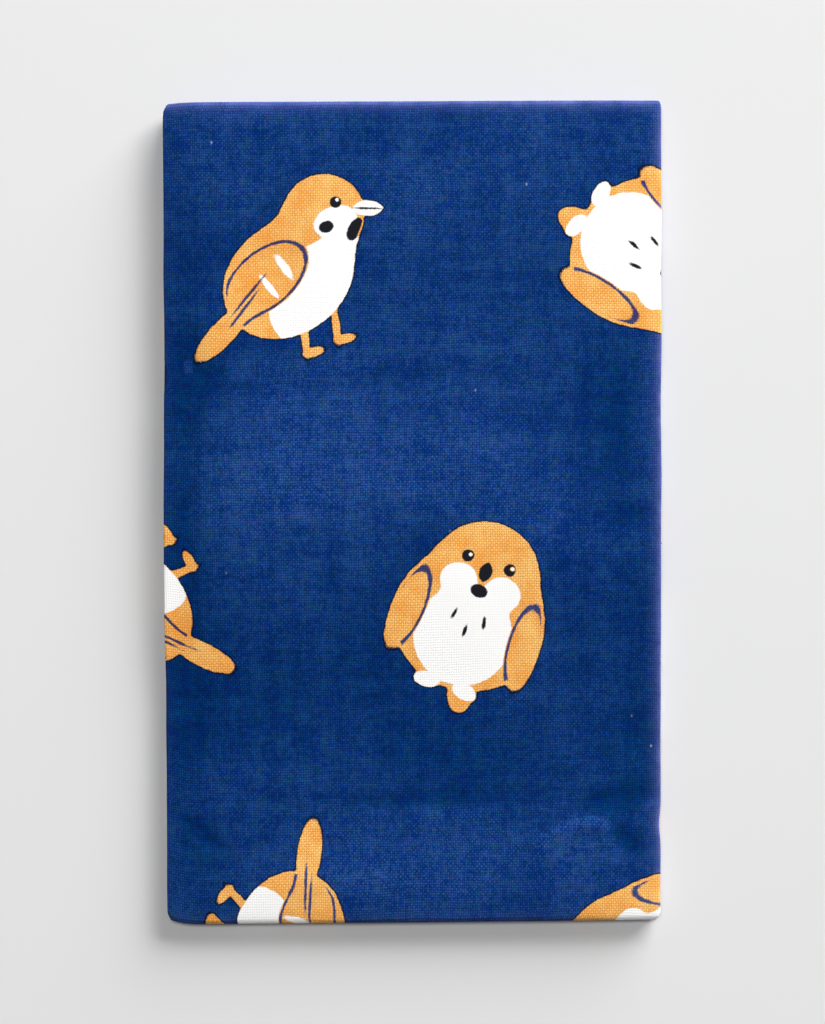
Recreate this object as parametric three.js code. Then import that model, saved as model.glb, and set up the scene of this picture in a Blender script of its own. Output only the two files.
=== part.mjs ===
import * as THREE from "three";

// A thin cotton towel, folded to a flat pack and lying with its best face up. Millimetres, +Z up.
// +X runs across the pack and +Y along it; the origin is under its middle, on what it lies on.
// The cloth is first folded in thirds across its width, so it becomes a strip of three plies, and
// the strip is then laid back and forth along its length. Its first end is tucked in under the face.

// The cloth as it was cut, and the strip that it is folded to
const CLOTH_WIDTH = 360;
const PLIES = 3;
const PLY = 0.38;
const STRIP = PLIES * PLY;
const HALF_STRIP = STRIP / 2;
const GAP = 0.35;
const PITCH = STRIP + GAP;

// The middle third is a little wider than the two flaps that fold in behind it.
const WIDER_MIDDLE = 1;
const STRIP_WIDTH = CLOTH_WIDTH / PLIES + WIDER_MIDDLE;

// Where the strip ends and turns, in the order of folding.
// reach: how far along the pack its outermost line lies. tilt: how much further along the pack its
// right corner is than its left. drawn: how far the line bends along the pack beside its left corner.
// shift, slim: how far the strip is moved and how much narrower it is there. left, right: the radius
// of each corner, seen from above.
const TURNS = [
  { name: "tucked end", reach: -7.0, tilt: 2.4, drawn: 0.0, shift: 0.3, slim: 0.8, left: 0.3, right: 0.3 },
  { name: "face top", reach: 100.0, tilt: 0.8, drawn: -0.9, shift: 0.0, slim: 0.0, left: 2.2, right: 1.1 },
  { name: "face bottom", reach: -100.0, tilt: 0.7, drawn: 1.2, shift: 0.5, slim: 1.0, left: 2.4, right: 2.2 },
  { name: "inner top", reach: 99.5, tilt: 1.0, drawn: -0.5, shift: -0.4, slim: 0.2, left: 2.2, right: 1.6 },
  { name: "back bottom", reach: -99.4, tilt: 0.2, drawn: 1.0, shift: 0.2, slim: 1.2, left: 3.0, right: 2.0 },
  { name: "cut end", reach: 95.5, tilt: -1.2, drawn: 0.0, shift: -0.2, slim: 0.6, left: 0.3, right: 0.3 },
];
const DRAWN_WIDTH = 4;

// The lengths of strip between them. level counts up from the length that lies lowest. step: how far
// apart the places along it are, closer in the face, which shows.
const LENGTHS = [
  { name: "tuck", level: 3, step: 16 },
  { name: "face", level: 4, step: 5 },
  { name: "under the face", level: 2, step: 16 },
  { name: "over the back", level: 1, step: 16 },
  { name: "back", level: 0, step: 16 },
];
const onFace = (i) => (LENGTHS[i].name === "face" ? 1 : 0);

// The face lies on the tuck in its upper half, and comes down by one level past the tucked end.
const RAMP = { top: TURNS[0].reach - 1.5, length: 46 };

// Where the side edges of the face are drawn in, or bulge where depth is negative.
const DENTS = [
  { side: "left", y: 33, depth: 0.5, length: 4 },
  { side: "left", y: -12, depth: -0.4, length: 30 },
  { side: "right", y: -75, depth: 0.4, length: 5 },
];

// The pile is pressed thinner along its sides, and is a little higher in some places than in others.
// rise is a share of the pile's height.
const SIDE_PRESS = { drop: 0.13, power: 7 };
const SWELLS = [
  { x: -30, y: 14, across: 20, along: 18, rise: 0.04 },
  { x: 12, y: 12, across: 30, along: 13, rise: 0.045 },
  { x: 34, y: -4, across: 16, along: 14, rise: 0.025 },
  { x: -36, y: 56, across: 10, along: 16, rise: -0.04 },
  { x: 47, y: 24, across: 9, along: 22, rise: -0.04 },
  { x: -54, y: -10, across: 7, along: 60, rise: -0.035 },
  { x: -30, y: -36, across: 30, along: 12, rise: -0.03 },
  { x: 20, y: -60, across: 34, along: 14, rise: -0.025 },
  { x: -10, y: -86, across: 40, along: 10, rise: 0.03 },
];

// Soft creases that stand up in the face alone: the middle of each, its direction in degrees, half
// its length, and its width and height.
const CREASES = [
  { x: 45, y: -75.5, turn: 18, long: 19, wide: 4.0, high: 0.5 },
  { x: 53, y: -81, turn: -23, long: 11, wide: 3.0, high: 0.25 },
];

// Steps of the surface: columns across the strip, the places along it that are close to a turn, and
// the steps round each turn.
const ACROSS = 12;
const NEAR_TURN = [2, 3.2, 5.5, 9];
const ROUND_TURN = 6;

const mix = (a, b, t) => a + (b - a) * t;
const bell = (t) => Math.exp(-t * t);
const smooth = (t) => {
  const held = THREE.MathUtils.clamp(t, 0, 1);
  return held * held * (3 - 2 * held);
};

// The height of the strip's middle in one of its lengths.
function middleHeight(i, y) {
  const lowered = onFace(i) * PITCH * smooth((RAMP.top - y) / RAMP.length);
  return HALF_STRIP + LENGTHS[i].level * PITCH - lowered;
}

// The places along one length, close together near its turns and evenly spaced between. A turn
// takes up the last of the reach, and an open end takes none.
function placesAlong(i) {
  const [from, to] = [TURNS[i], TURNS[i + 1]];
  const heading = Math.sign(to.reach - from.reach);
  const turnDepth = PITCH / 2 + HALF_STRIP;
  const total = Math.abs(to.reach - from.reach);
  const start = i === 0 ? 0 : turnDepth;
  const end = i === LENGTHS.length - 1 ? total : total - turnDepth;
  const outer = NEAR_TURN.at(-1);
  const count = Math.round((total - 2 * outer) / LENGTHS[i].step);
  const even = Array.from({ length: count - 1 }, (_, k) => mix(outer, total - outer, (k + 1) / count));
  const distances = [start, ...NEAR_TURN, ...even, ...NEAR_TURN.map((d) => total - d).reverse(), end];
  return distances.map((d) => from.reach + heading * d);
}

// Stations along the strip's middle line. Each has its place in the YZ plane and the strip's normal
// there, the two turns that it lies between and how far it has come, and its share in the face.
function straightStations(i) {
  const [from, to] = [TURNS[i], TURNS[i + 1]];
  const heading = Math.sign(to.reach - from.reach);
  return placesAlong(i).map((y) => ({
    y,
    z: middleHeight(i, y),
    normal: { y: 0, z: -heading },
    from,
    to,
    part: (y - from.reach) / (to.reach - from.reach),
    face: onFace(i),
  }));
}

function turnStations(i, last, next) {
  const heading = Math.sign(TURNS[i + 1].reach - TURNS[i].reach);
  const radius = Math.abs(next.z - last.z) / 2;
  const climb = Math.sign(next.z - last.z);
  return Array.from({ length: ROUND_TURN - 1 }, (_, k) => {
    const share = (k + 1) / ROUND_TURN;
    const angle = Math.PI * share;
    return {
      y: last.y + heading * radius * Math.sin(angle),
      z: last.z + climb * radius * (1 - Math.cos(angle)),
      normal: { y: climb * Math.sin(angle), z: -heading * Math.cos(angle) },
      from: TURNS[i + 1],
      to: TURNS[i + 1],
      part: 0,
      face: mix(onFace(i), onFace(i + 1), share),
    };
  });
}

function allStations() {
  const straights = LENGTHS.map((_, i) => straightStations(i));
  return straights.flatMap((stations, i) => {
    const next = straights[i + 1];
    return next ? [...stations, ...turnStations(i, stations.at(-1), next[0])] : stations;
  });
}

// How far a rounded corner draws a side in, at a distance from the turn's outermost line.
function cornerInset(radius, distance) {
  const inside = Math.max(0, radius - distance);
  return radius - Math.sqrt(radius * radius - inside * inside);
}

function dentInset(side, y) {
  const dents = DENTS.filter((dent) => dent.side === side);
  return dents.reduce((sum, dent) => sum + dent.depth * bell((y - dent.y) / dent.length), 0);
}

// The strip's left and right sides at a station.
function sidesAt({ from, to, part, y, face }) {
  const half = (STRIP_WIDTH - mix(from.slim, to.slim, part)) / 2;
  const shift = mix(from.shift, to.shift, part);
  const inset = (side) => {
    const corners = [from, to].map((turn) => cornerInset(turn[side], Math.abs(turn.reach - y)));
    return Math.max(...corners) + face * dentInset(side, y);
  };
  return { left: shift - half + inset("left"), right: shift + half - inset("right") };
}

// The strip's own section, in columns from left to right. across: the column's place between the
// two sides. out: how far it stands out past them. half: how far its ends are from the strip's
// middle. The columns lie closer together towards the sides, which are rounded.
const SIDE_ANGLE = Math.PI / 6;
const sideColumn = (across) => ({
  across,
  out: across * Math.cos(SIDE_ANGLE) * HALF_STRIP,
  half: Math.sin(SIDE_ANGLE) * HALF_STRIP,
});
const flatColumn = (_, i) => ({
  across: Math.sin((i / ACROSS - 0.5) * Math.PI),
  out: 0,
  half: HALF_STRIP,
});
const COLUMNS = [sideColumn(-1), ...Array.from({ length: ACROSS + 1 }, flatColumn), sideColumn(1)];

// The pile's height at a place, as a share of its full height.
function pressed(x, y) {
  const share = Math.min(1, Math.abs((2 * x) / STRIP_WIDTH));
  const swells = SWELLS.map((s) => s.rise * bell((x - s.x) / s.across) * bell((y - s.y) / s.along));
  return swells.reduce((sum, rise) => sum + rise, 1 - SIDE_PRESS.drop * share ** SIDE_PRESS.power);
}

// The height that the creases add to the face.
function creased(x, y) {
  const heights = CREASES.map((crease) => {
    const turn = THREE.MathUtils.degToRad(crease.turn);
    const along = (x - crease.x) * Math.cos(turn) + (y - crease.y) * Math.sin(turn);
    const aside = (y - crease.y) * Math.cos(turn) - (x - crease.x) * Math.sin(turn);
    return crease.high * bell(along / crease.long) * bell(aside / crease.wide);
  });
  return heights.reduce((sum, high) => sum + high, 0);
}

// One ring of the strip's skin: over the columns from left to right, then back along the other face.
function ringAt(station) {
  const { left, right } = sidesAt(station);
  const tilt = mix(station.from.tilt, station.to.tilt, station.part);
  const drawn = mix(station.from.drawn, station.to.drawn, station.part);
  const point = (column, off) => {
    const x = mix(left + HALF_STRIP, right - HALF_STRIP, (column.across + 1) / 2) + column.out;
    const bend = (tilt * x) / STRIP_WIDTH + drawn * bell((x + STRIP_WIDTH / 2) / DRAWN_WIDTH);
    const y = station.y + station.normal.y * off + bend;
    const z = (station.z + station.normal.z * off) * pressed(x, y) + station.face * creased(x, y);
    return new THREE.Vector3(x, y, z);
  };
  const over = COLUMNS.map((column) => point(column, column.half));
  const back = COLUMNS.map((column) => point(column, -column.half)).reverse();
  return [...over, ...back];
}

// Rings of equal count, each joined to the next, and closed at both ends between the two faces.
function skin(rings) {
  const count = rings[0].length;
  const faces = [];
  const square = (a, b, c, d) => faces.push(a, b, c, a, c, d);
  for (let ring = 0; ring + 1 < rings.length; ring++) {
    const base = ring * count;
    for (let k = 0; k < count; k++) {
      const next = (k + 1) % count;
      square(base + k, base + count + k, base + count + next, base + next);
    }
  }
  const lastBase = (rings.length - 1) * count;
  for (let k = 0; k + 1 < COLUMNS.length; k++) {
    const [opposite, nextOpposite] = [count - 1 - k, count - 2 - k];
    square(k, k + 1, nextOpposite, opposite);
    square(lastBase + k, lastBase + opposite, lastBase + nextOpposite, lastBase + k + 1);
  }
  const geometry = new THREE.BufferGeometry();
  const positions = rings.flat().flatMap((point) => point.toArray());
  geometry.setAttribute("position", new THREE.Float32BufferAttribute(positions, 3));
  geometry.setIndex(faces);
  geometry.computeVertexNormals();
  return geometry;
}

// The towel is one piece of cloth, so it is one solid. It stands on its underside, about its middle.
function foldedCloth() {
  const geometry = skin(allStations().map(ringAt));
  geometry.computeBoundingBox();
  const middle = geometry.boundingBox.getCenter(new THREE.Vector3());
  return geometry.translate(-middle.x, -middle.y, -geometry.boundingBox.min.z);
}

const dyedCotton = new THREE.MeshStandardMaterial({ color: 0x143876, roughness: 0.95, metalness: 0 });
const cloth = new THREE.Mesh(foldedCloth(), dyedCotton);
cloth.name = "tenugui_cloth";

const towel = new THREE.Group();
towel.add(cloth);
export default towel;
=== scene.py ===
import math

import bpy
import numpy as np
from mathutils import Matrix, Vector, noise


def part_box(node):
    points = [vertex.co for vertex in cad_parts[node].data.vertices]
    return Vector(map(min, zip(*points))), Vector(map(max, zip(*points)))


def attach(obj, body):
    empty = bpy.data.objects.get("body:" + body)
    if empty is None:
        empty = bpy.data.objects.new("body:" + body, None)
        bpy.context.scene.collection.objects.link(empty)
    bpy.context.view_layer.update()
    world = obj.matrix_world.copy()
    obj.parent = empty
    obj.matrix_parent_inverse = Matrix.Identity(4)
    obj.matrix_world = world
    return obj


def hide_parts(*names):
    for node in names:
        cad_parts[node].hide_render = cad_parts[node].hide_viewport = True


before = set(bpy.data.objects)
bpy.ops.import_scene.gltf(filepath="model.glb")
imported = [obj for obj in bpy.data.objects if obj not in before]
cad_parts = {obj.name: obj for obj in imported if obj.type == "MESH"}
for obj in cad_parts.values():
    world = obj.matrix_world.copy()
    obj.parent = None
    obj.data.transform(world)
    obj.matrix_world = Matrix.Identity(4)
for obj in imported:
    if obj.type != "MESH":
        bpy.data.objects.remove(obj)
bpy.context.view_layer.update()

# The camera looks straight down on the pack from above its middle, with the pack's length upright in
# the picture. The view is as tall as the photograph's frame at the height where the pack is widest.
PHOTO_WIDTH, PHOTO_HEIGHT = 825, 1024
PACK_MIDDLE = (411.6, 512.6)
PACK_LENGTH_IN_PIXELS = 824
LENS = 100
SENSOR = 36

low_corner, high_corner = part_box("tenugui_cloth")
pack_length = high_corner[1] - low_corner[1]
pack_height = high_corner[2] - low_corner[2]
pixel = pack_length / PACK_LENGTH_IN_PIXELS
camera_data = bpy.data.cameras.new("camera")
camera_data.lens = LENS
camera_data.sensor_width = SENSOR
camera = bpy.data.objects.new("camera", camera_data)
camera.location = (
    (PHOTO_WIDTH / 2 - PACK_MIDDLE[0]) * pixel,
    (PACK_MIDDLE[1] - PHOTO_HEIGHT / 2) * pixel,
    pack_height / 2 + PHOTO_HEIGHT * pixel * LENS / SENSOR,
)
bpy.context.scene.collection.objects.link(camera)
bpy.context.scene.camera = camera

# The towel is one length of thin plain-weave cotton, cut and left without a hem. It is folded in
# thirds across its width, with the best third outside, and the strip of three plies is laid back and
# forth along its length, with its first end tucked in under the face. Lengths are in metres.
CLOTH_WIDTH = 0.360
CLOTH_LENGTH = 0.900
STRIP_WIDTH = 0.121
PLY_PITCH = 0.00038
CLOTH_THICKNESS = 0.00028
STRIP_PITCH = 3 * PLY_PITCH + 0.00035
HALF_STRIP = 1.5 * PLY_PITCH


def table(columns, *rows):
    """Rows of values, each a dictionary under the columns' names."""
    return [dict(zip(columns.split(), row)) for row in rows]


# Where the strip ends and turns: the tucked end, the face's top and bottom, the inner top, the back's
# bottom and the cut end. reach: its outermost line along the pack. tilt: how much further along its
# right corner is than its left. drawn: how far the line bends along the pack beside its left corner.
# shift, slim: how far the strip is moved and how much narrower it is there. left, right: the radius of
# each corner, seen from above. wear and highlight: how far the dye is worn pale along the fold, with a
# painted highlight where the fold faces the light. steps: rings round the turn.
TURNS = table(
    "reach tilt drawn shift slim left right rubbed steps",
    (-0.0070, 0.0024, 0.0000, 0.0003, 0.0008, 0.0003, 0.0003, 0.00, 0),
    (0.0999, 0.0005, -0.0004, 0.0000, 0.0000, 0.0027, 0.0016, 1.00, 12),
    (-0.0999, 0.0012, 0.0012, 0.0005, 0.0010, 0.0024, 0.0026, 0.28, 12),
    (0.0995, 0.0010, -0.0005, -0.0004, 0.0002, 0.0022, 0.0016, 0.50, 10),
    (-0.0994, 0.0002, 0.0010, 0.0002, 0.0012, 0.0030, 0.0020, 0.30, 10),
    (0.0955, -0.0012, 0.0000, -0.0002, 0.0006, 0.0003, 0.0003, 0.00, 0),
)
DRAWN_WIDTH = 0.004

# The lengths of strip between the turns. level counts up from the one that lies lowest, and step is
# the distance between rings. They are closer together near the turns, where the corners are round.
LENGTHS = table(
    "name level step",
    ("tuck", 3, 0.008),
    ("face", 4, 0.0013),
    ("under the face", 2, 0.008),
    ("over the back", 1, 0.008),
    ("back", 0, 0.008),
)
CORNER_ZONE = 0.0045
CORNER_STEP = 0.0007

# The face comes down by one level past the tucked end, and its sides are drawn in or bulge a little.
RAMP_TOP = TURNS[0]["reach"] - 0.0015
RAMP_LENGTH = 0.046
DENTS = table(
    "side y depth length",
    ("left", 0.0330, 0.0006, 0.0022),
    ("left", -0.0120, -0.0004, 0.0300),
    ("left", -0.0435, 0.0002, 0.0012),
    ("right", -0.0765, 0.0004, 0.0036),
)

# The pile is pressed thinner along its sides and its ends, and it is higher in some places than others.
SIDE_DROP = 0.13
SIDE_POWER = 7
END_DROP = 0.09
END_POWER = 30
SWELLS = table(
    "x y across along rise",
    (-0.030, 0.014, 0.020, 0.018, 0.040),
    (0.012, 0.012, 0.030, 0.013, 0.045),
    (0.034, -0.004, 0.016, 0.014, 0.025),
    (-0.036, 0.056, 0.010, 0.016, -0.040),
    (0.047, 0.024, 0.009, 0.022, -0.040),
    (-0.056, -0.014, 0.005, 0.062, -0.055),
    (-0.034, -0.041, 0.028, 0.021, -0.042),
    (0.020, -0.060, 0.034, 0.014, -0.025),
    (-0.010, -0.086, 0.040, 0.010, 0.035),
    (0.000, 0.075, 0.040, 0.012, 0.012),
    (0.036, -0.084, 0.010, 0.006, 0.020),
    (-0.030, 0.004, 0.012, 0.008, 0.025),
    (-0.052, 0.034, 0.005, 0.005, -0.045),
    (-0.053, -0.048, 0.006, 0.010, -0.030),
    (-0.052, -0.083, 0.007, 0.008, -0.040),
    (0.052, -0.054, 0.009, 0.007, -0.020),
    (0.054, -0.016, 0.004, 0.060, -0.014),
)

# Creases and hollows in the face alone: the middle of each, its direction in degrees, half its length,
# its width, and its height, which is negative in a trough.
CREASES = table(
    "x y turn long wide high",
    (0.0313, -0.0811, 45, 0.0028, 0.0016, 0.00030),
    (0.0361, -0.0779, 24, 0.0038, 0.0014, 0.00042),
    (0.0420, -0.0759, 8, 0.0036, 0.0017, 0.00050),
    (0.0462, -0.0762, -24, 0.0022, 0.0015, 0.00034),
    (0.0582, -0.0713, 20, 0.0032, 0.0014, 0.00030),
    (0.0505, -0.0695, 16, 0.0085, 0.0034, -0.00050),
    (0.0518, -0.0793, -42, 0.0044, 0.0020, -0.00046),
    (0.0447, -0.0787, 6, 0.0022, 0.0008, -0.00016),
    (0.0040, -0.0700, 2, 0.0210, 0.0022, -0.00020),
    (0.0040, -0.0738, 4, 0.0180, 0.0024, 0.00012),
    (-0.0525, -0.0770, -37, 0.0080, 0.0014, -0.00024),
    (-0.0545, 0.0366, 80, 0.0060, 0.0030, -0.00025),
    (0.0535, 0.0002, 0, 0.0060, 0.0024, -0.00024),
    (-0.0330, 0.0590, 60, 0.0080, 0.0035, -0.00016),
    (0.0500, 0.0230, 88, 0.0130, 0.0030, -0.00020),
    (-0.0200, -0.0900, 4, 0.0200, 0.0030, 0.00014),
    (0.0310, -0.0046, 70, 0.0070, 0.0030, 0.00016),
    (-0.0080, 0.0060, -14, 0.0300, 0.0030, 0.00014),
    (-0.0100, 0.0320, 3, 0.0330, 0.0026, -0.00012),
)
RIPPLES = table("size high", (0.030, 0.00012), (0.011, 0.00006))
SIDE_WANDER = 0.00016

# Raised places get a painted highlight and hollows painted shade: how much of a full change of shade
# goes with a swell and with a crease.
PAINTED_SHADE_OF_SWELL = 10.0
PAINTED_SHADE_OF_CREASE = 1900.0

# The worn paleness of the dye and the painted highlight fade over this distance from a fold's outermost
# line, and they are less at the sides than at the top, and far less on the left side, away from the light.
WEAR_AND_HIGHLIGHT_FADE = 0.0009
SIDES_WEAR_AND_HIGHLIGHT = dict(left=0.04, right=0.70)


def mix(a, b, share):
    return a + (b - a) * share


def smooth(share):
    held = min(1.0, max(0.0, share))
    return held * held * (3 - 2 * held)


def bell(share):
    return math.exp(-share * share)


def is_face(i):
    return 1.0 if LENGTHS[i]["name"] == "face" else 0.0


def middle_height(i, y):
    """The height of the strip's middle in one of its lengths."""
    lowered = is_face(i) * STRIP_PITCH * smooth((RAMP_TOP - y) / RAMP_LENGTH)
    return HALF_STRIP + LENGTHS[i]["level"] * STRIP_PITCH - lowered


def spread(first, last, zone, fine_step, step):
    """Places from first to last, a fine step apart within a zone at either end."""
    fine = round(zone / fine_step)
    wide = round((last - first - 2 * zone) / step)
    start = [first + zone * k / fine for k in range(fine)]
    middle = [mix(first + zone, last - zone, k / wide) for k in range(wide)]
    return start + middle + [last - zone * (1 - k / fine) for k in range(fine + 1)]


def straight_stations(i):
    """Stations along one length of strip. A turn takes up the last of the reach, an open end none."""
    start, end = TURNS[i], TURNS[i + 1]
    heading = math.copysign(1, end["reach"] - start["reach"])
    turn_depth = STRIP_PITCH / 2 + HALF_STRIP
    total = abs(end["reach"] - start["reach"])
    first = turn_depth if start["steps"] else 0.0
    last = total - (turn_depth if end["steps"] else 0.0)
    stations = []
    for distance in spread(first, last, CORNER_ZONE, CORNER_STEP, LENGTHS[i]["step"]):
        y = start["reach"] + heading * distance
        station = dict(y=y, z=middle_height(i, y), normal=(0.0, -heading), start=start, end=end)
        stations.append(station | dict(part=distance / total, face=is_face(i), level=LENGTHS[i]["level"]))
    return stations


def turn_stations(i, before, after):
    """Stations round the turn at the end of one length, on a half circle between two heights."""
    turn = TURNS[i + 1]
    heading = math.copysign(1, turn["reach"] - TURNS[i]["reach"])
    climb = math.copysign(1, after["z"] - before["z"])
    radius = abs(after["z"] - before["z"]) / 2
    stations = []
    for k in range(1, turn["steps"]):
        share = k / turn["steps"]
        angle = math.pi * share
        y = before["y"] + heading * radius * math.sin(angle)
        z = before["z"] + climb * radius * (1 - math.cos(angle))
        normal = (climb * math.sin(angle), -heading * math.cos(angle))
        station = dict(y=y, z=z, normal=normal, start=turn, end=turn, part=0.0)
        face = mix(is_face(i), is_face(i + 1), share)
        stations.append(station | dict(face=face, level=mix(before["level"], after["level"], share)))
    return stations


def all_stations():
    straights = [straight_stations(i) for i in range(len(LENGTHS))]
    stations = list(straights[0])
    for i, following in enumerate(straights[1:]):
        stations += turn_stations(i, straights[i][-1], following[0]) + following
    return stations


def corner_inset(radius, distance):
    """How far a rounded corner draws a side in, at a distance from the turn's outermost line."""
    inside = max(0.0, radius - distance)
    return radius - math.sqrt(radius * radius - inside * inside)


def side_of_strip(station, side):
    """The strip's left or right side at a station."""
    outward = -1 if side == "left" else 1
    y = station["y"]
    half = (STRIP_WIDTH - mix(station["start"]["slim"], station["end"]["slim"], station["part"])) / 2
    shift = mix(station["start"]["shift"], station["end"]["shift"], station["part"])
    turns = (station["start"], station["end"])
    corners = [corner_inset(turn[side], abs(turn["reach"] - y)) for turn in turns]
    dents = [d["depth"] * bell((y - d["y"]) / d["length"]) for d in DENTS if d["side"] == side]
    wander = SIDE_WANDER * noise.noise(Vector((outward * 3.0, y * 60, station["level"] * 5.0)))
    return shift + outward * (half - max(corners) - station["face"] * sum(dents) + wander)


def swell(x, y):
    """How much higher the pile is at a place, as a share of its full height."""
    return sum(
        s["rise"] * bell((x - s["x"]) / s["across"]) * bell((y - s["y"]) / s["along"]) for s in SWELLS
    )


def pressed(x, y):
    """The pile's height at a place, as a share of its full height."""
    to_side = min(1.0, abs(2 * x / STRIP_WIDTH))
    to_end = min(1.0, abs(y / TURNS[1]["reach"]))
    return 1 - SIDE_DROP * to_side**SIDE_POWER - END_DROP * to_end**END_POWER + swell(x, y)


def creased(x, y):
    """The height that creases and ripples add to the face."""
    total = 0.0
    for crease in CREASES:
        turn = math.radians(crease["turn"])
        along = (x - crease["x"]) * math.cos(turn) + (y - crease["y"]) * math.sin(turn)
        aside = (y - crease["y"]) * math.cos(turn) - (x - crease["x"]) * math.sin(turn)
        total += crease["high"] * bell(along / crease["long"]) * bell(aside / crease["wide"])
    for ripple in RIPPLES:
        total += ripple["high"] * noise.noise(Vector((x / ripple["size"], y / ripple["size"], 0.5)))
    return total


# The strip's own section runs from one selvedge to the other: the inner flap, a fold, the middle
# third, a wider fold round the inner flap, and the outer flap. Each column says on which side of the
# strip it is fixed, how far it lies from there, how far it is off the strip's middle, and its place
# across the flat cloth.
MIDDLE_STEP = 0.0013
FLAP_COLUMNS = 8
FOLD_COLUMNS = 6


def section_columns():
    left_radius, right_radius = PLY_PITCH / 2, PLY_PITCH
    left_in = left_radius + CLOTH_THICKNESS / 2
    right_in = right_radius + CLOTH_THICKNESS / 2
    middle = STRIP_WIDTH - left_in - right_in
    flap = (CLOTH_WIDTH - middle - math.pi * (left_radius + right_radius)) / 2
    columns = []
    for k in range(FLAP_COLUMNS + 1):
        away = flap * (1 - k / FLAP_COLUMNS)
        columns.append((left_in + away, 0.0, flap - away))
    for k in range(1, FOLD_COLUMNS):
        angle = math.pi * k / FOLD_COLUMNS
        out = left_radius * math.sin(angle)
        columns.append((left_in - out, left_radius * (1 - math.cos(angle)), flap + left_radius * angle))
    start = flap + math.pi * left_radius
    for along in spread(0.0, middle, CORNER_ZONE, CORNER_STEP, MIDDLE_STEP):
        columns.append((left_in + along, PLY_PITCH, start + along))
    start += middle
    for k in range(1, FOLD_COLUMNS):
        angle = math.pi * k / FOLD_COLUMNS
        out = right_radius * math.sin(angle)
        off = right_radius * math.cos(angle)
        columns.append((left_in + middle + out, off, start + right_radius * angle))
    start += math.pi * right_radius
    for k in range(FLAP_COLUMNS + 1):
        along = flap * k / FLAP_COLUMNS
        columns.append((left_in + middle - along, -PLY_PITCH, start + along))
    return columns


def rubbed(station, across):
    """How far the dye is worn pale at a place, with a painted highlight where a fold faces the light:
    most on a fold's outermost line.
    """
    turns = (station["start"], station["end"])
    places = [(turn["rubbed"], abs(turn["reach"] - station["y"])) for turn in turns]
    places += [(SIDES_WEAR_AND_HIGHLIGHT["left"], across), (SIDES_WEAR_AND_HIGHLIGHT["right"], STRIP_WIDTH - across)]
    return max(most * math.exp(-max(0.0, away) / WEAR_AND_HIGHLIGHT_FADE) for most, away in places)


def cloth_points():
    """The middle of the cloth's thickness: one row of points to a station. Each point has its place on
    the flat cloth, how far a fold has worn it pale, with a painted highlight where the fold faces the
    light, and the painted highlight and shade that the face's relief gives it."""
    columns = section_columns()
    points, flat, wear, shade = [], [], [], []
    stations = all_stations()
    travelled = 0.0
    for before, station in zip([stations[0]] + stations, stations):
        travelled += math.hypot(station["y"] - before["y"], station["z"] - before["z"])
        left = side_of_strip(station, "left")
        right = side_of_strip(station, "right")
        tilt = mix(station["start"]["tilt"], station["end"]["tilt"], station["part"])
        drawn = mix(station["start"]["drawn"], station["end"]["drawn"], station["part"])
        row, row_shade = [], []
        for across, off, _ in columns:
            x = mix(left, right, across / STRIP_WIDTH)
            bend = tilt * x / STRIP_WIDTH + drawn * bell((x + STRIP_WIDTH / 2) / DRAWN_WIDTH)
            y = station["y"] + station["normal"][0] * off + bend
            z = (station["z"] + station["normal"][1] * off) * pressed(x, y)
            crease = station["face"] * creased(x, y)
            row.append((x, y, z + crease))
            # The face's painted highlight on raised places and painted shade in hollows and troughs.
            row_shade.append(station["face"] * swell(x, y) * PAINTED_SHADE_OF_SWELL + crease * PAINTED_SHADE_OF_CREASE)
        points.append(row)
        flat.append([(place, travelled) for _, _, place in columns])
        wear.append([rubbed(station, across) for across, _, _ in columns])
        shade.append(row_shade)
    points, flat = np.array(points), np.array(flat)
    flat[..., 1] *= CLOTH_LENGTH / travelled
    middle = (points.max(axis=(0, 1)) + points.min(axis=(0, 1))) / 2
    points[..., :2] -= middle[:2]
    return points, flat, {"fold_wear_and_highlight": np.array(wear), "painted_relief_shade": np.array(shade)}


def grid_mesh(name, points, flat, shares):
    """A mesh of squares over rows of points, with the cloth's flat place as its UV map, in metres."""
    rows, columns = points.shape[:2]
    corners = np.arange(rows * columns).reshape(rows, columns)
    squares = np.stack(
        [corners[:-1, :-1], corners[:-1, 1:], corners[1:, 1:], corners[1:, :-1]], axis=-1
    ).reshape(-1, 4)
    mesh = bpy.data.meshes.new(name)
    mesh.from_pydata(points.reshape(-1, 3).tolist(), [], squares.tolist())
    mesh.uv_layers.new(name="flat_cloth")
    loops = np.empty(len(mesh.loops), dtype=np.int32)
    mesh.loops.foreach_get("vertex_index", loops)
    mesh.uv_layers["flat_cloth"].data.foreach_set("uv", flat.reshape(-1, 2)[loops].ravel())
    for attribute, values in shares.items():
        mesh.attributes.new(attribute, "FLOAT", "POINT").data.foreach_set("value", values.ravel())
    mesh.shade_smooth()
    return mesh


points, flat, shares = cloth_points()
cloth = bpy.data.objects.new("folded_sheet", grid_mesh("folded_sheet", points, flat, shares))
bpy.context.scene.collection.objects.link(cloth)
thickness = cloth.modifiers.new("thickness", "SOLIDIFY")
thickness.thickness = CLOTH_THICKNESS
thickness.offset = 0


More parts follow.
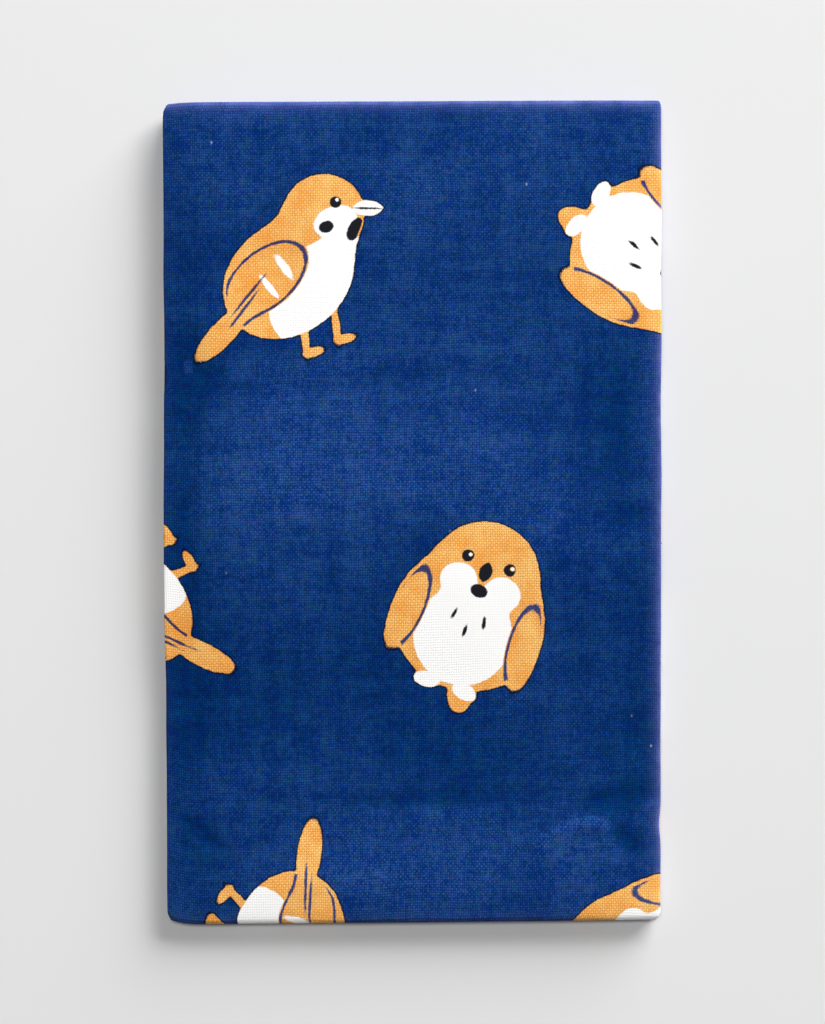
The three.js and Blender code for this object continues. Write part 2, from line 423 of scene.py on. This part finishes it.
class Wire:
    """A socket in a node tree, so that the tree's maths reads as an expression."""

    def __init__(self, tree, socket=None):
        self.tree = tree
        self.socket = socket

    def node(self, kind, settings, sockets, output=0):
        """Adds a node: its settings first, then the values or wires of its sockets."""
        added = self.tree.nodes.new(kind)
        for name, value in settings.items():
            setattr(added, name, value)
        self.feed(added, sockets)
        return Wire(self.tree, added.outputs[output])

    def feed(self, node, sockets):
        for key, value in sockets.items():
            if isinstance(value, Wire):
                self.tree.links.new(value.socket, node.inputs[key])
            else:
                node.inputs[key].default_value = value

    def maths(self, operation, *others):
        return self.node("ShaderNodeMath", {"operation": operation}, dict(enumerate((self, *others))))

    def vector(self, operation, *values, output=0):
        sockets = dict(enumerate((self, *values)))
        return self.node("ShaderNodeVectorMath", {"operation": operation}, sockets, output)

    def __add__(self, other):
        return self.maths("ADD", other)

    def __sub__(self, other):
        return self.maths("SUBTRACT", other)

    def __rsub__(self, other):
        return self.node("ShaderNodeMath", {"operation": "SUBTRACT"}, {0: other, 1: self})

    def __mul__(self, other):
        return self.maths("MULTIPLY", other)

    def __truediv__(self, other):
        return self.maths("DIVIDE", other)

    def __neg__(self):
        return self.maths("MULTIPLY", -1.0)

    __radd__ = __add__
    __rmul__ = __mul__

    def step(self, low, high):
        """0 below low and 1 above high, with a smooth change between."""
        sockets = {"Value": self, "From Min": low, "From Max": high}
        return self.node("ShaderNodeMapRange", {"interpolation_type": "SMOOTHSTEP"}, sockets)

    def colour(self, below, above):
        """The colour below where the wire is 0, and above where it is 1."""
        return self.node("ShaderNodeMix", {"data_type": "RGBA"}, {0: self, 6: below, 7: above}, output=2)

    def scaled(self, x, y):
        return self.vector("MULTIPLY", (x, y, 1.0))

    def noise(self, scale, detail=2.0):
        return self.node("ShaderNodeTexNoise", {}, {"Vector": self, "Scale": scale, "Detail": detail})


# The cloth is dyed navy and printed with scattered plump birds in tan and white, with small black
# details. The print's places are in millimetres on the flat cloth, so it runs on round every fold.
MILLIMETRES = 1000.0
WARP_PITCH, WEFT_PITCH = 0.553, 0.606
# The weave's crossings get painted light and shade: lighter where the warp lies on top.
WARP_PAINTED_LIGHT = 0.24
STREAK_STRETCH = 0.22
BAND_ACROSS, BAND_ALONG = 0.30, 0.012
SELVEDGE = 3.0
CELL_WIDTH, CELL_HEIGHT = 88.0, 84.0
CELL_PLACE = (69.5, 64.0)
COLUMN_TURN, ROW_TURN, FIRST_TURN = 140, -108, -76
PRINT_EDGE = 0.12
RIM_WIDTH = (0.1, 0.32)
WING_LINE = 0.32
NAVY = (0.0001, 0.0205, 0.136, 1)
NAVY_PALE = (0.0190, 0.0640, 0.215, 1)
# Painted shade in the small holes between the threads.
NAVY_GAP_SHADE = (0.0001, 0.0125, 0.108, 1)
HUE_SPREAD, HUE_BASE = (2.0, 0.70, 1.10), (-0.12, 0.64, 0.42)
# Painted shade in the face's hollows and painted highlight on its raised places.
HOLLOW_PAINTED_SHADE = (0.08, 0.76, 0.78, 1)
RAISED_PAINTED_LIGHT = (1.64, 1.40, 1.31, 1)
# Worn dye on the folds, pale violet, with a painted highlight where they face the light.
WEAR_AND_HIGHLIGHT = (0.131, 0.158, 0.440, 1)
RIM = (0.0006, 0.004, 0.018, 1)
LINT = (0.45, 0.52, 0.72, 1)
TAN = (0.88, 0.340, 0.058, 1)
TAN_PALE = (1.0, 0.620, 0.205, 1)
# Painted shade in the holes between tan threads.
TAN_GAP_SHADE = (0.49, 0.180, 0.036, 1)
WHITE = (0.96, 0.955, 0.945, 1)
# Painted shade in the holes between white threads.
WHITE_GAP_SHADE = (0.60, 0.58, 0.56, 1)
INK = (0.012, 0.013, 0.018, 1)
SHADE_RANGE, TAN_RANGE, PAINTED_RELIEF_RANGE = (-0.3, 1.3), (-0.55, 0.55), (-0.60, 0.60)
LINT_SCALE, LINT_SIZE = 0.030, (0.002, 0.011)
COTTON_ROUGHNESS = 0.92
BUMP_STRENGTH, WEAVE_BUMP = 0.4, 0.00014


def oval(place, x, y, wide, high, turn=0.0):
    """The signed distance from an oval's edge, negative inside. Sizes are from its middle."""
    settings = {"vector_type": "TEXTURE"}
    sockets = {
        "Vector": place,
        "Location": (x, y, 0.0),
        "Rotation": (0.0, 0.0, math.radians(turn)),
        "Scale": (wide, high, 1.0),
    }
    inside = place.node("ShaderNodeMapping", settings, sockets)
    return (inside.vector("LENGTH", output="Value") - 1.0) * min(wide, high)


def joined(shapes, blend=0.0):
    """The union of shapes, with hollows filled over a distance of blend."""
    whole = shapes[0]
    for shape in shapes[1:]:
        if blend:
            whole = whole.maths("SMOOTH_MIN", shape, blend)
        else:
            whole = whole.maths("MINIMUM", shape)
    return whole


def overlap(a, b):
    return a.maths("MAXIMUM", b)


def side_bird(place):
    """A plump bird seen from its side: its tan, white and black shapes, and the wing's navy lines."""
    trunk = joined([oval(place, -1.5, -3.5, 17, 13.5, 24), oval(place, 10, 10, 9.8, 9.4)], 8.0)
    tail = oval(place, -20.5, -13.5, 8.5, 2.9, 34)
    legs = joined([oval(place, -0.8, -19.0, 0.9, 4.0, -6), oval(place, 7.2, -17.4, 0.9, 4.0, -6)])
    toes = joined([oval(place, 0.6, -22.4, 2.5, 1.1, 2), oval(place, 8.7, -20.8, 2.5, 1.1, 2)])
    beak = overlap(oval(place, 20.4, 7.2, 4.4, 3.6, -14), oval(place, 21.0, 10.6, 4.4, 3.6, -14))
    gape = overlap(oval(place, 20.7, 8.9, 4.0, 0.28, -14), beak)
    belly = overlap(oval(place, 7.0, -9.0, 16.0, 12.0, 30), trunk)
    cheek = oval(place, 12.4, 7.4, 5.4, 3.8, 6)
    wing = joined([oval(place, -7.0, -2.5, 11.5, 6.6, 28), oval(place, -15.5, -9.5, 8.0, 2.8, 38)], 4.0)
    bars = joined([oval(place, -2.0, -0.6, 1.0, 3.8, 24), oval(place, -6.6, -4.6, 0.8, 3.4, 26)])
    quills = joined([oval(place, -12.0, -5.6, 6.0, 0.36, 38), oval(place, -14.0, -8.8, 6.0, 0.36, 40)])
    wing_edge = overlap(wing.maths("ABSOLUTE") - WING_LINE, trunk + 0.6)
    glint = oval(place, 13.9, 12.5, 0.45, 0.45)
    eye = overlap(oval(place, 13.4, 12.0, 1.4, 1.4), -glint)
    bib = overlap(oval(place, 16.6, 4.6, 3.0, 1.6, 52), trunk + 0.3)
    spot = oval(place, 10.0, 6.6, 1.8, 1.4, 10)
    return dict(
        tan=joined([trunk, tail, legs, toes, beak], 1.2),
        white=joined([overlap(joined([belly, cheek], 2.0), -(wing - 0.5)), beak, bars, glint]),
        ink=joined([eye, bib, spot, gape]),
        line=joined([wing_edge, quills]),
    )


def pair(place, x, y, wide, high, turn=0.0):
    """An oval on each side of a bird's middle."""
    return joined([oval(place, -x, y, wide, high, turn), oval(place, x, y, wide, high, -turn)])


def front_bird(place):
    """A plump bird seen from the front: its tan, white and black shapes, and the wings' navy lines."""
    trunk = joined([oval(place, 0, -3.5, 18.5, 17.0), oval(place, 0, 11.0, 11.8, 10.2)], 10.0)
    wings = pair(place, 15.0, -5.5, 3.8, 10.5, -5)
    tail = oval(place, 4.0, -21.0, 3.0, 4.6, 14)
    feet = pair(place, 4.8, -20.2, 3.2, 1.9, 8)
    belly = oval(place, 0, -7.5, 12.0, 12.0)
    cheeks = pair(place, 5.8, 5.6, 4.4, 3.7, 16)
    eyes = pair(place, 5.4, 11.4, 1.5, 1.5)
    glints = joined([oval(place, -4.9, 11.9, 0.5, 0.5), oval(place, 5.9, 11.9, 0.5, 0.5)])
    beak = overlap(oval(place, -1.2, 9.0, 2.8, 2.8), oval(place, 1.2, 9.0, 2.8, 2.8))
    bib = oval(place, 0, 4.2, 2.1, 1.6)
    dashes = joined([pair(place, 3.8, -2.8, 0.45, 1.5, -14), oval(place, 0, -6.2, 0.45, 1.5)])
    return dict(
        tan=joined([trunk, wings, tail, feet], 1.6),
        white=joined([overlap(joined([belly, cheeks], 5.0), -(wings - 0.5)), feet, glints]),
        ink=joined([overlap(eyes, -glints), beak, bib, dashes]),
        line=overlap(wings.maths("ABSOLUTE") - WING_LINE, trunk + 0.6),
    )


def printed(across, along, wander):
    """Where the print is tan, white and black: every cell holds one bird, turned its own way."""
    row = (along + CELL_PLACE[1]) / CELL_HEIGHT
    row_index = row.maths("FLOOR")
    column = (across + CELL_PLACE[0]) / CELL_WIDTH + row_index.maths("MODULO", 2.0) * 0.5
    column_index = column.maths("FLOOR")
    middle = {
        "X": (column - column_index - 0.5) * CELL_WIDTH,
        "Y": (row - row_index - 0.5) * -CELL_HEIGHT,
    }
    in_cell = across.node("ShaderNodeCombineXYZ", {}, middle)
    turn = column_index * math.radians(COLUMN_TURN) + row_index * math.radians(ROW_TURN)
    turned = {"Vector": in_cell, "Angle": turn + math.radians(FIRST_TURN)}
    place = across.node("ShaderNodeVectorRotate", {"rotation_type": "Z_AXIS"}, turned)
    from_front = column_index.maths("MODULO", 2.0)
    one, other = side_bird(place), front_bird(place)
    shapes = {}
    for name in one:
        distance = one[name] + (other[name] - one[name]) * from_front + wander
        shapes[name] = 1 - distance.step(-PRINT_EDGE, PRINT_EDGE)
        if name == "tan":
            shapes["rim"] = 1 - (distance - PRINT_EDGE).maths("ABSOLUTE").step(*RIM_WIDTH)
    return shapes


def dyed_cotton():
    material = bpy.data.materials.new("dyed_cotton")
    material.use_nodes = True
    tree = material.node_tree
    start = Wire(tree)
    flat = start.node("ShaderNodeUVMap", {"uv_map": "flat_cloth"}, {}).scaled(MILLIMETRES, MILLIMETRES)
    fold_wear_highlight = start.node("ShaderNodeAttribute", {"attribute_name": "fold_wear_and_highlight"}, {}, "Fac")
    painted_relief = start.node("ShaderNodeAttribute", {"attribute_name": "painted_relief_shade"}, {}, "Fac")

    # Plain weave: at each crossing the warp or the weft lies on top, by turns. The threads wander a
    # little, and each is thicker or paler in some places than in others.
    drift = flat.noise(0.04, 1.0) * 1.5 + flat.noise(0.9, 1.0) * 0.25
    across = flat.node("ShaderNodeSeparateXYZ", {}, {0: flat}, "X")
    along = flat.node("ShaderNodeSeparateXYZ", {}, {0: flat}, "Y")
    warp_place = (across + drift) / WARP_PITCH
    weft_place = (along - drift) / WEFT_PITCH
    warp_wave = (warp_place * math.pi).maths("SINE")
    weft_wave = (weft_place * math.pi).maths("SINE")
    warp_high = warp_wave.maths("ABSOLUTE") * (weft_wave * warp_wave.maths("SIGN") * 0.5 + 0.5)
    weft_high = weft_wave.maths("ABSOLUTE") * (0.5 - warp_wave * weft_wave.maths("SIGN") * 0.5)
    thread = warp_high.maths("MAXIMUM", weft_high)
    # Painted highlight where the warp lies on top and painted shade where the weft does, as if lit from one
    # side.
    warp_painted_light = warp_wave * weft_wave
    crossing = {"X": warp_place.maths("FLOOR"), "Y": weft_place.maths("FLOOR")}
    crossing = flat.node("ShaderNodeCombineXYZ", {}, crossing)
    crossing = flat.node("ShaderNodeTexWhiteNoise", {"noise_dimensions": "2D"}, {"Vector": crossing})
    warp_streak = flat.scaled(1.0 / WARP_PITCH, STREAK_STRETCH).noise(1.0, 1.0)
    weft_streak = flat.scaled(STREAK_STRETCH, 1.0 / WEFT_PITCH).noise(1.0, 1.0)
    fibre = flat.noise(4.2, 3.0)
    cloud = flat.noise(0.16, 4.0)

    # The threads leave small holes between them, more in some places than others, and the holes get painted
    # shade. The selvedges are woven closer.
    selvedge = 1 - across.maths("MINIMUM", CLOTH_WIDTH * MILLIMETRES - across).step(SELVEDGE - 0.5, SELVEDGE)
    openness = flat.noise(0.9, 2.0) * 0.30 + 0.16 - selvedge * 0.3
    gap_shade = 1 - thread.step(openness - 0.1, openness + 0.2)

    # The dye took unevenly: paler and darker clouds, bands along the threads, and a drift of hue. Raised
    # places get a painted highlight and hollows painted shade, and the weave shows more in raised places.
    streaks = warp_streak + weft_streak - 1.0
    bands = flat.scaled(BAND_ACROSS, BAND_ALONG).noise(1.0, 2.0)
    bands = bands + flat.scaled(BAND_ALONG, BAND_ACROSS).noise(1.0, 2.0) - 1.0
    painted_relief = painted_relief * (flat.noise(0.7, 2.0) * 1.2 + 0.4)
    weave = warp_painted_light * WARP_PAINTED_LIGHT + streaks * 0.75 + (crossing - 0.5) * 0.45 + (fibre - 0.5) * 1.0
    # Thread crowns get a painted highlight and the dips between threads painted shade.
    weave = weave + (thread - 0.7) * 0.55
    shade = weave * (painted_relief * 0.6 + 1) + (cloud - 0.5) * 1.3 + bands * 0.8 + painted_relief * 0.12 + 0.42
    shade = shade + (flat.noise(0.8, 2.0) - 0.5) * 1.2
    hue = flat.node("ShaderNodeTexNoise", {}, {"Vector": flat, "Scale": 0.48, "Detail": 2.0}, "Color")
    navy = shade.step(*SHADE_RANGE).colour(NAVY, NAVY_PALE)
    navy = navy.vector("MULTIPLY", hue.vector("MULTIPLY_ADD", HUE_SPREAD, HUE_BASE))
    navy = (gap_shade * 0.9).colour(navy, NAVY_GAP_SHADE)
    navy = navy.vector("MULTIPLY", painted_relief.step(*PAINTED_RELIEF_RANGE).colour(HOLLOW_PAINTED_SHADE, RAISED_PAINTED_LIGHT))
    # The folds are worn pale and get a painted highlight, most on the top and right, which face the light.
    rubbed = fold_wear_highlight * (flat.noise(0.22, 3.0) * 2.4 + 0.1) * (1 - gap_shade * 0.5)
    navy = rubbed.colour(navy, WEAR_AND_HIGHLIGHT)
    tan = warp_painted_light * WARP_PAINTED_LIGHT + streaks * 0.4 + (fibre - 0.5) * 0.5
    tan = tan + (cloud - 0.5) * 1.5 + painted_relief * 0.3
    tan = (gap_shade * 0.75).colour(tan.step(*TAN_RANGE).colour(TAN, TAN_PALE), TAN_GAP_SHADE)
    white = (gap_shade * 0.10).colour(WHITE, WHITE_GAP_SHADE)

    # A few pale specks of lint cling to some parts of the cloth.
    lint = {"Vector": flat.scaled(1.0, 0.7), "Scale": LINT_SCALE}
    lint = flat.node("ShaderNodeTexVoronoi", {"voronoi_dimensions": "2D"}, lint, "Distance")
    linted = flat.noise(0.045, 1.0).step(0.50, 0.58) * 0.5
    navy = ((1 - lint.step(*LINT_SIZE)) * linted).colour(navy, LINT)

    shapes = printed(across, along, (fibre - 0.5) * 0.5 + (flat.noise(0.5, 2.0) - 0.5) * 0.5)
    colour = (shapes["rim"] * 0.85).colour(navy, RIM)
    colour = shapes["tan"].colour(colour, tan)
    colour = shapes["white"].colour(colour, white)
    colour = (shapes["line"] * 0.95).colour(colour, navy)
    colour = shapes["ink"].colour(colour, INK)

    height = thread * 0.8 + fibre * 0.25
    bump = {"Strength": BUMP_STRENGTH, "Distance": WEAVE_BUMP, "Height": height}
    bump = start.node("ShaderNodeBump", {}, bump)
    surface = {
        "Base Color": colour,
        "Roughness": COTTON_ROUGHNESS,
        "Specular IOR Level": 0.03,
        "Sheen Weight": 0.01,
        "Sheen Roughness": 0.5,
        "Normal": bump,
    }
    start.feed(tree.nodes["Principled BSDF"], surface)
    return material


cloth.data.materials.append(dyed_cotton())
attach(cloth, "root")
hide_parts("tenugui_cloth")

# The cloth's two short ends are cut and left raw, so the ends of the threads that run along the cloth
# stand free of it. There is one short thread to each of the weave's, bent its own way.
CUT_THREAD_RADIUS = 0.00011
CUT_THREAD_SHORTEST, CUT_THREAD_LONGEST = 0.0006, 0.0021
CUT_THREAD_SWAY = 0.00030
CUT_THREAD_LEAN = ((-0.10, 0.0, -0.45), (0.10, 3.0, 0.45))
CUT_THREAD_STEPS, CUT_THREAD_SIDES = 3, 3
CUT_THREAD_SEED = 5
CUT_THREAD_TWIST = 0.00005
CUT_THREAD_LOWEST = 0.00002
CUT_THREAD_COLOURS = ((0.0046, 0.031, 0.150, 1), (0.05, 0.12, 0.38, 1))


def cut_thread_tree():
    """Geometry Nodes that set a short bent thread at every pitch of the lines that they are given."""
    tree = bpy.data.node_groups.new("cut_threads", "GeometryNodeTree")
    tree.interface.new_socket("Geometry", in_out="OUTPUT", socket_type="NodeSocketGeometry")
    tree.interface.new_socket("Cut Lines", in_out="INPUT", socket_type="NodeSocketGeometry")
    for name in ("Pitch", "Radius", "Shortest", "Longest", "Sway", "Lowest"):
        tree.interface.new_socket(name, in_out="INPUT", socket_type="NodeSocketFloat")
    tree.interface.new_socket("Seed", in_out="INPUT", socket_type="NodeSocketInt")
    tree.interface.new_socket("Material", in_out="INPUT", socket_type="NodeSocketMaterial")
    given = {socket.name: Wire(tree, socket) for socket in tree.nodes.new("NodeGroupInput").outputs}
    start = Wire(tree)

    line = start.node("GeometryNodeMeshToCurve", {}, {"Mesh": given["Cut Lines"]})
    spread = {"Curve": line, "Length": given["Pitch"]}
    roots = start.node("GeometryNodeResampleCurve", {"mode": "LENGTH"}, spread)

    bend = start.node("ShaderNodeCombineXYZ", {}, {"X": given["Sway"], "Y": 0.5, "Z": given["Sway"] * 0.4})
    tip = start.node("ShaderNodeCombineXYZ", {}, {"X": -given["Sway"], "Y": 1.0, "Z": given["Sway"] * -0.4})
    path = {"Resolution": CUT_THREAD_STEPS, "Start": (0.0, 0.0, 0.0), "Middle": bend, "End": tip}
    path = start.node("GeometryNodeCurveQuadraticBezier", {}, path)
    section = {"Resolution": CUT_THREAD_SIDES, "Radius": given["Radius"]}
    section = start.node("GeometryNodeCurvePrimitiveCircle", {}, section)
    outline = {"Curve": path, "Profile Curve": section, "Fill Caps": True}
    thread = start.node("GeometryNodeCurveToMesh", {}, outline)

    place = start.node("GeometryNodeInputPosition", {}, {})
    far_end = start.node("ShaderNodeSeparateXYZ", {}, {0: place}, "Y").maths("LESS_THAN", 0.0)
    lean = {0: CUT_THREAD_LEAN[0], 1: CUT_THREAD_LEAN[1], "Seed": given["Seed"]}
    lean = start.node("FunctionNodeRandomValue", {"data_type": "FLOAT_VECTOR"}, lean)
    heading = start.node("ShaderNodeCombineXYZ", {}, {"X": 0.0, "Y": 0.0, "Z": far_end * math.pi})
    long = {2: given["Shortest"], 3: given["Longest"], "Seed": given["Seed"]}
    long = start.node("FunctionNodeRandomValue", {"data_type": "FLOAT"}, long, output=1)
    stretched = start.node("ShaderNodeCombineXYZ", {}, {"X": 1.0, "Y": long, "Z": 1.0})
    turned = lean.vector("ADD", heading)
    planted = {"Points": roots, "Instance": thread, "Rotation": turned, "Scale": stretched}
    planted = start.node("GeometryNodeInstanceOnPoints", {}, planted)

    real = start.node("GeometryNodeRealizeInstances", {}, {"Geometry": planted})
    height = start.node("ShaderNodeSeparateXYZ", {}, {0: place}, "Z")
    lift = start.node("ShaderNodeCombineXYZ", {}, {"Z": (given["Lowest"] - height).maths("MAXIMUM", 0.0)})
    rested = start.node("GeometryNodeSetPosition", {}, {"Geometry": real, "Offset": lift})
    dressed = {"Geometry": rested, "Material": given["Material"]}
    dressed = start.node("GeometryNodeSetMaterial", {}, dressed)
    start.feed(tree.nodes.new("NodeGroupOutput"), {"Geometry": dressed})
    return tree


def cut_thread_material():
    material = bpy.data.materials.new("cut_thread")
    material.use_nodes = True
    start = Wire(material.node_tree)
    place = start.node("ShaderNodeTexCoord", {}, {}, "Object")
    colour = place.noise(900.0, 2.0).step(0.35, 0.7).colour(*CUT_THREAD_COLOURS)
    twist = place.noise(4000.0, 1.0)
    bump = {"Strength": BUMP_STRENGTH, "Distance": CUT_THREAD_TWIST, "Height": twist}
    bump = start.node("ShaderNodeBump", {}, bump)
    surface = {
        "Base Color": colour,
        "Roughness": COTTON_ROUGHNESS,
        "Specular IOR Level": 0.12,
        "Normal": bump,
    }
    start.feed(material.node_tree.nodes["Principled BSDF"], surface)
    return material


def cut_threads(rows):
    """The threads along the cloth's rows of points at its two cut ends, as one mesh."""
    count = len(rows[0])
    lines = bpy.data.meshes.new("cut_lines")
    edges = [(r * count + k, r * count + k + 1) for r in range(len(rows)) for k in range(count - 1)]
    lines.from_pydata(np.concatenate(rows).tolist(), edges, [])
    source = bpy.data.objects.new("cut_lines", lines)
    bpy.context.scene.collection.objects.link(source)
    tree = cut_thread_tree()
    values = {
        "Pitch": WARP_PITCH / MILLIMETRES,
        "Radius": CUT_THREAD_RADIUS,
        "Shortest": CUT_THREAD_SHORTEST,
        "Longest": CUT_THREAD_LONGEST,
        "Sway": CUT_THREAD_SWAY,
        "Lowest": CUT_THREAD_LOWEST,
        "Seed": CUT_THREAD_SEED,
        "Material": cut_thread_material(),
    }
    grow = source.modifiers.new("threads", "NODES")
    grow.node_group = tree
    for socket in tree.interface.items_tree:
        if socket.name in values:
            grow[socket.identifier] = values[socket.name]
    mesh = bpy.data.meshes.new_from_object(source.evaluated_get(bpy.context.evaluated_depsgraph_get()))
    bpy.data.objects.remove(source)
    mesh.name = "cut_thread_ends"
    return mesh


ends = bpy.data.objects.new("cut_thread_ends", cut_threads([points[0], points[-1]]))
bpy.context.scene.collection.objects.link(ends)
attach(ends, "root")

# The floor is a plain pale surface. A broad light stands past the pack's top right corner, and a small
# one is overhead, so the pack's soft shadow falls to the left and below.
FLOOR_SIZE = 4.0
FLOOR_COLOUR = (0.74, 0.74, 0.74, 1)
FLOOR_ROUGHNESS, FLOOR_SHINE = 0.9, 0.1
KEY = dict(name="key", place=(1.90, 2.94, 1.05), size=2.85, power=338)
OVERHEAD = dict(name="overhead", place=(-0.10, 0.27, 1.48), size=0.35, power=9.4)
FILL_STRENGTH = 0.070

floor_mesh = bpy.data.meshes.new("floor")
half_floor = FLOOR_SIZE / 2
floor_corners = [(-half_floor, -half_floor, 0), (half_floor, -half_floor, 0)]
floor_corners += [(half_floor, half_floor, 0), (-half_floor, half_floor, 0)]
floor_mesh.from_pydata(floor_corners, [], [(0, 1, 2, 3)])
floor = bpy.data.objects.new("floor", floor_mesh)
bpy.context.scene.collection.objects.link(floor)
floor_material = bpy.data.materials.new("floor")
floor_material.use_nodes = True
floor_surface = floor_material.node_tree.nodes["Principled BSDF"]
floor_surface.inputs["Base Color"].default_value = FLOOR_COLOUR
floor_surface.inputs["Roughness"].default_value = FLOOR_ROUGHNESS
floor_surface.inputs["Specular IOR Level"].default_value = FLOOR_SHINE
floor_mesh.materials.append(floor_material)

for light in (KEY, OVERHEAD):
    lamp_data = bpy.data.lights.new(light["name"], "AREA")
    lamp_data.size = light["size"]
    lamp_data.energy = light["power"]
    lamp = bpy.data.objects.new(light["name"], lamp_data)
    lamp.location = light["place"]
    lamp.rotation_euler = Vector(light["place"]).to_track_quat("Z", "Y").to_euler()
    bpy.context.scene.collection.objects.link(lamp)

world = bpy.data.worlds.new("studio")
world.use_nodes = True
world.node_tree.nodes["Background"].inputs["Color"].default_value = (1, 1, 1, 1)
world.node_tree.nodes["Background"].inputs["Strength"].default_value = FILL_STRENGTH
bpy.context.scene.world = world
bpy.context.scene.view_settings.view_transform = "Standard"
